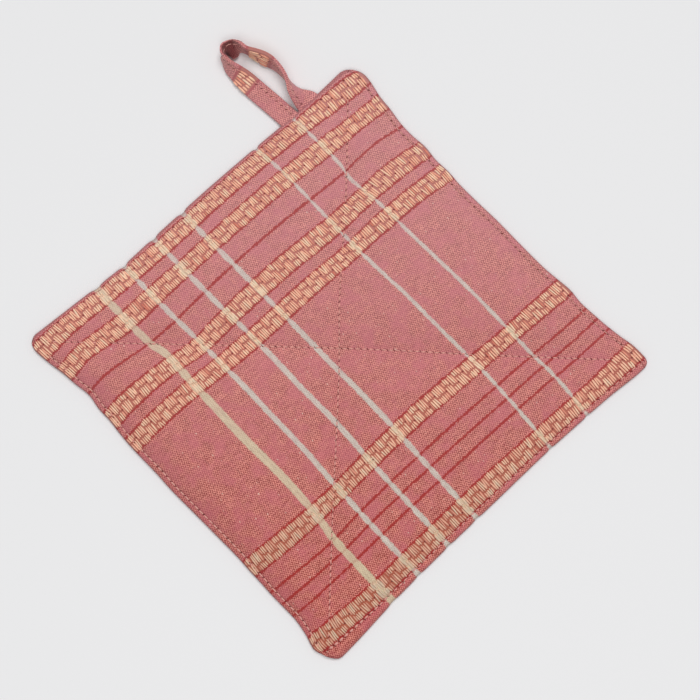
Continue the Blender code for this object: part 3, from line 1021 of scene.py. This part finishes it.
# Cross-section of the folded tape: a fold at one side, and at the other the two turned
# edges that are stitched together
TAPE_FOLD, TAPE_MOUTH = (-0.50, 0.0), (0.45, 0.0)
TAPE_FACE = (
    # share of the width, share of the thickness
    (-0.49, 0.28),
    (-0.45, 0.46),
    (-0.38, 0.50),
    (-0.20, 0.50),
    (0.00, 0.50),
    (0.14, 0.49),
    (0.22, 0.40),
    (0.28, 0.34),
    (0.34, 0.42),
    (0.42, 0.49),
    (0.48, 0.40),
    (0.50, 0.24),
    (0.48, 0.08),
)
TAPE_UNDERSIDE = tuple((across, -through) for across, through in reversed(TAPE_FACE))
TAPE_SECTION = (TAPE_FOLD, *TAPE_FACE, TAPE_MOUTH, *TAPE_UNDERSIDE)
TAPE_STITCH_AT = 0.28  # share of the width
CRUMPLE_DEPTH, CRUMPLE_REACH = 0.4, 6


def tape_lengths():
    """How far along the tape each station is."""
    places = np.array([station[:2] for station in TAPE_STATIONS])
    return np.concatenate([[0], np.cumsum(np.hypot(*np.diff(places, axis=0).T))])


def crumple(along, across):
    """How far the tape is pushed in or out where it turns back."""
    nearness = np.exp(-(((along - LOOP_END) / CRUMPLE_REACH) ** 2))
    return CRUMPLE_DEPTH * nearness * unevenness(along, across, 1.8, 23)


def tape_heights():
    """How high the tape's middle is at each station, so that it stands clear of the table."""
    seams = np.array([SEAM_HEIGHT] * ENDS_SEWN_IN)
    free = np.array(TAPE_STATIONS[ENDS_SEWN_IN:-ENDS_SEWN_IN], float)
    leans = np.radians(free[:, 2])
    rises = free[:, 3] * np.abs(np.sin(leans)) + TAPE_THICKNESS * np.abs(np.cos(leans))
    return np.concatenate([seams, TAPE_CLEARANCE + rises / 2, seams])


def on_tape(along, across, through):
    """The x, y and z of places given along the tape, across it and off its middle."""
    lengths = tape_lengths()
    columns = np.array(TAPE_STATIONS, float).T
    x, y, lean, width = (smooth_between(lengths, column, along) for column in columns)
    step = 0.4
    ahead = [smooth_between(lengths, column, along + step) for column in columns[:2]]
    behind = [smooth_between(lengths, column, along - step) for column in columns[:2]]
    run = np.array([ahead[0] - behind[0], ahead[1] - behind[1]])
    run /= np.hypot(*run)
    lean = np.radians(lean)
    up, flat = np.sin(lean), np.cos(lean)
    height = smooth_between(lengths, tape_heights(), along)
    w, t = across * width, through * TAPE_THICKNESS + crumple(along, across * width)
    inward = np.array([run[1], -run[0]])
    x = x + inward[0] * (flat * w - up * t)
    y = y + inward[1] * (flat * w - up * t)
    return x, y, height + up * w + flat * t


def make_tape(material):
    """The folded tape as one closed skin, sewn into the pad's seam at both ends."""
    bm = bmesh.new()
    length = tape_lengths()[-1]
    rings = round(length / TAPE_RING)
    count = len(TAPE_SECTION)
    bmesh.ops.create_grid(bm, x_segments=count, y_segments=rings, size=1.0)
    bm.verts.index_update()
    flat = np.array([vert.co for vert in bm.verts])
    place = np.rint((flat[:, 0] + 1) / 2 * count).astype(int)
    along = (flat[:, 1] + 1) / 2 * length
    section = np.array([*TAPE_SECTION, TAPE_SECTION[0]])
    sizes = section * (TAPE_WIDTH, TAPE_THICKNESS)
    girth = np.concatenate([[0], np.cumsum(np.hypot(*np.diff(sizes, axis=0).T))])
    x, y, z = on_tape(along, section[place, 0], section[place, 1])
    z += 0.06 * unevenness(along, section[place, 0] * TAPE_WIDTH, 5, 21)
    cloth = bm.loops.layers.uv.new("cloth")
    for face in bm.faces:
        for loop in face.loops:
            k = loop.vert.index
            loop[cloth].uv = (girth[place[k]], along[k])
    for vert, point in zip(bm.verts, in_frame(x, y, z)):
        vert.co = point
    bmesh.ops.remove_doubles(bm, verts=bm.verts, dist=1e-6)
    bmesh.ops.holes_fill(bm, edges=[edge for edge in bm.edges if edge.is_boundary], sides=count)
    bmesh.ops.recalc_face_normals(bm, faces=bm.faces)
    tape = finish_piece(mesh_from(bm, "loop_tape"), "loop_tape", material)
    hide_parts("hanging_loop")
    return tape


def along_tape(points):
    """The points of beads that are laid out across the tape, along it and through it."""
    across, along, through = points.reshape(-1, 3).T
    return along, across, through


def make_tape_floats(material):
    """The thick yarn where the bands cross the tape, on both its faces."""
    rng = np.random.default_rng(17)
    places, sizes, tones = [], [], []
    wide, high = TAPE_FLOAT_SIZE
    for start, end in PATCHES:
        for side in (FACE, BACK):
            across = TAPE_FLOATS_FROM
            while across < TAPE_FLOATS_TO:
                meet = rng.uniform(0.35, 0.65)
                for near, far in ((0.08, meet - 0.01), (meet + 0.01, 0.92)):
                    middle = start + (near + far) / 2 * (end - start)
                    places.append((across / TAPE_WIDTH, middle, side * 0.5))
                    sizes.append((wide, (far - near) / 2 * (end - start), high))
                    tones.append(np.clip(rng.normal(0.6, 0.15), 0.3, 0.95))
                across += TAPE_FLOAT * rng.uniform(0.9, 1.1)
    mesh, points = beads(places, sizes, [1] * len(places))
    put_points(mesh, in_frame(*on_tape(*along_tape(points))))
    put_tones(mesh, tones, points, places, sizes)
    return finish_piece(mesh, "loop_floats", material)


def make_tape_stitches(material):
    """The thread that holds the tape's turned edges together."""
    places = []
    along = TAPE_UNSTITCHED
    while along < tape_lengths()[-1] - TAPE_UNSTITCHED:
        for off in (TAPE_STITCH_OFF, -TAPE_STITCH_OFF):
            places.append((TAPE_STITCH_AT, along, off))
        along += EDGE_STITCH
    mesh, points = beads(places, [TAPE_STITCH_SIZE] * len(places), [1] * len(places), 6, 8)
    put_points(mesh, in_frame(*on_tape(*along_tape(points))))
    return finish_piece(mesh, "loop_stitches", material)


# --- floor, lights and camera ---

PHOTO_SIDE = 700  # pixels
PIXEL = 0.4698  # millimetres of the pad's face in a pixel of the photo
TURN = 43.4  # degrees, of the cloth's u in the photo
VIEW_MIDDLE = (6.73, -1.22)  # the place under the photo's middle, in the cloth's millimetres
FACE_HEIGHT = 5.0
LENS, SENSOR = 85.0, 36.0


def make_floor():
    bm = bmesh.new()
    bmesh.ops.create_grid(bm, x_segments=1, y_segments=1, size=3.0)
    bmesh.ops.translate(bm, vec=(0, 0, -0.00002), verts=bm.verts)  # just under the pad
    mesh = mesh_from(bm, "floor")
    material = bpy.data.materials.new("floor_paint")
    material.use_nodes = True
    shader = material.node_tree.nodes["Principled BSDF"]
    shader.inputs["Base Color"].default_value = colour(238, 238, 239)
    shader.inputs["Roughness"].default_value = 0.9
    shader.inputs["Specular IOR Level"].default_value = 0.1
    mesh.materials.append(material)
    floor = bpy.data.objects.new("floor", mesh)
    bpy.context.scene.collection.objects.link(floor)


def image_direction(right, up):
    """A direction on the floor, given as it shows in the photo."""
    return Matrix.Rotation(math.radians(-TURN), 3, "Z") @ Vector((right, up, 0))


def area_light(name, place, power, size, aim):
    data = bpy.data.lights.new(name, "AREA")
    data.energy = power
    data.size = size
    light = bpy.data.objects.new(name, data)
    light.location = place
    light.rotation_euler = (aim - place).to_track_quat("-Z", "Y").to_euler()
    bpy.context.scene.collection.objects.link(light)


def make_lights(middle):
    world = bpy.data.worlds.new("studio")
    world.use_nodes = True
    background = world.node_tree.nodes["Background"]
    background.inputs["Color"].default_value = (1, 1, 1, 1)
    background.inputs["Strength"].default_value = 0.345
    bpy.context.scene.world = world
    area_light("softbox", middle + image_direction(0.4, 2.4) + Vector((0, 0, 5.4)), 177, 2.6, middle)
    area_light("lamp", middle + image_direction(0.0, -0.5) + Vector((0, 0, 1.3)), 3.8, 0.6, middle)


def make_camera():
    x, y = VIEW_MIDDLE[0] + CLOTH_MIDDLE[0], VIEW_MIDDLE[1] + CLOTH_MIDDLE[1]
    middle = Vector((x, y, FACE_HEIGHT)) * MM
    distance = PHOTO_SIDE * PIXEL * MM * LENS / SENSOR
    data = bpy.data.cameras.new("camera")
    data.lens = LENS
    data.sensor_width = SENSOR
    camera = bpy.data.objects.new("camera", data)
    camera.location = middle + Vector((0, 0, distance))
    camera.rotation_euler = (0, 0, math.radians(-TURN))
    bpy.context.scene.collection.objects.link(camera)
    bpy.context.scene.camera = camera
    return middle


view_middle = make_camera()
make_lights(view_middle)
make_floor()
bpy.context.scene.view_settings.view_transform = "Standard"

pad_stripes = [(yarn, u, width) for yarn, u, width, _ in STRIPES]
pad_lines = [v for name, v, _ in CROSS_LINES if "side" not in name]
pad_material = woven_cloth("checked_cloth", pad_stripes, pad_lines, band_edges())
tape_lines = [place for patch in PATCHES for place in patch]
tape_material = woven_cloth("tape_cloth", [], tape_lines, PATCHES, on_loop=True)
yarn = float_yarn()
thread = sewing_thread("pink_thread", 236, 172, 160)

make_pad(pad_material)
make_band_floats(yarn, FACE)
make_band_floats(yarn, BACK)
make_quilting_stitches(thread)
make_edge_stitches(thread)
tape = make_tape(tape_material)
tape_floats = make_tape_floats(yarn)
tape_stitches = make_tape_stitches(thread)
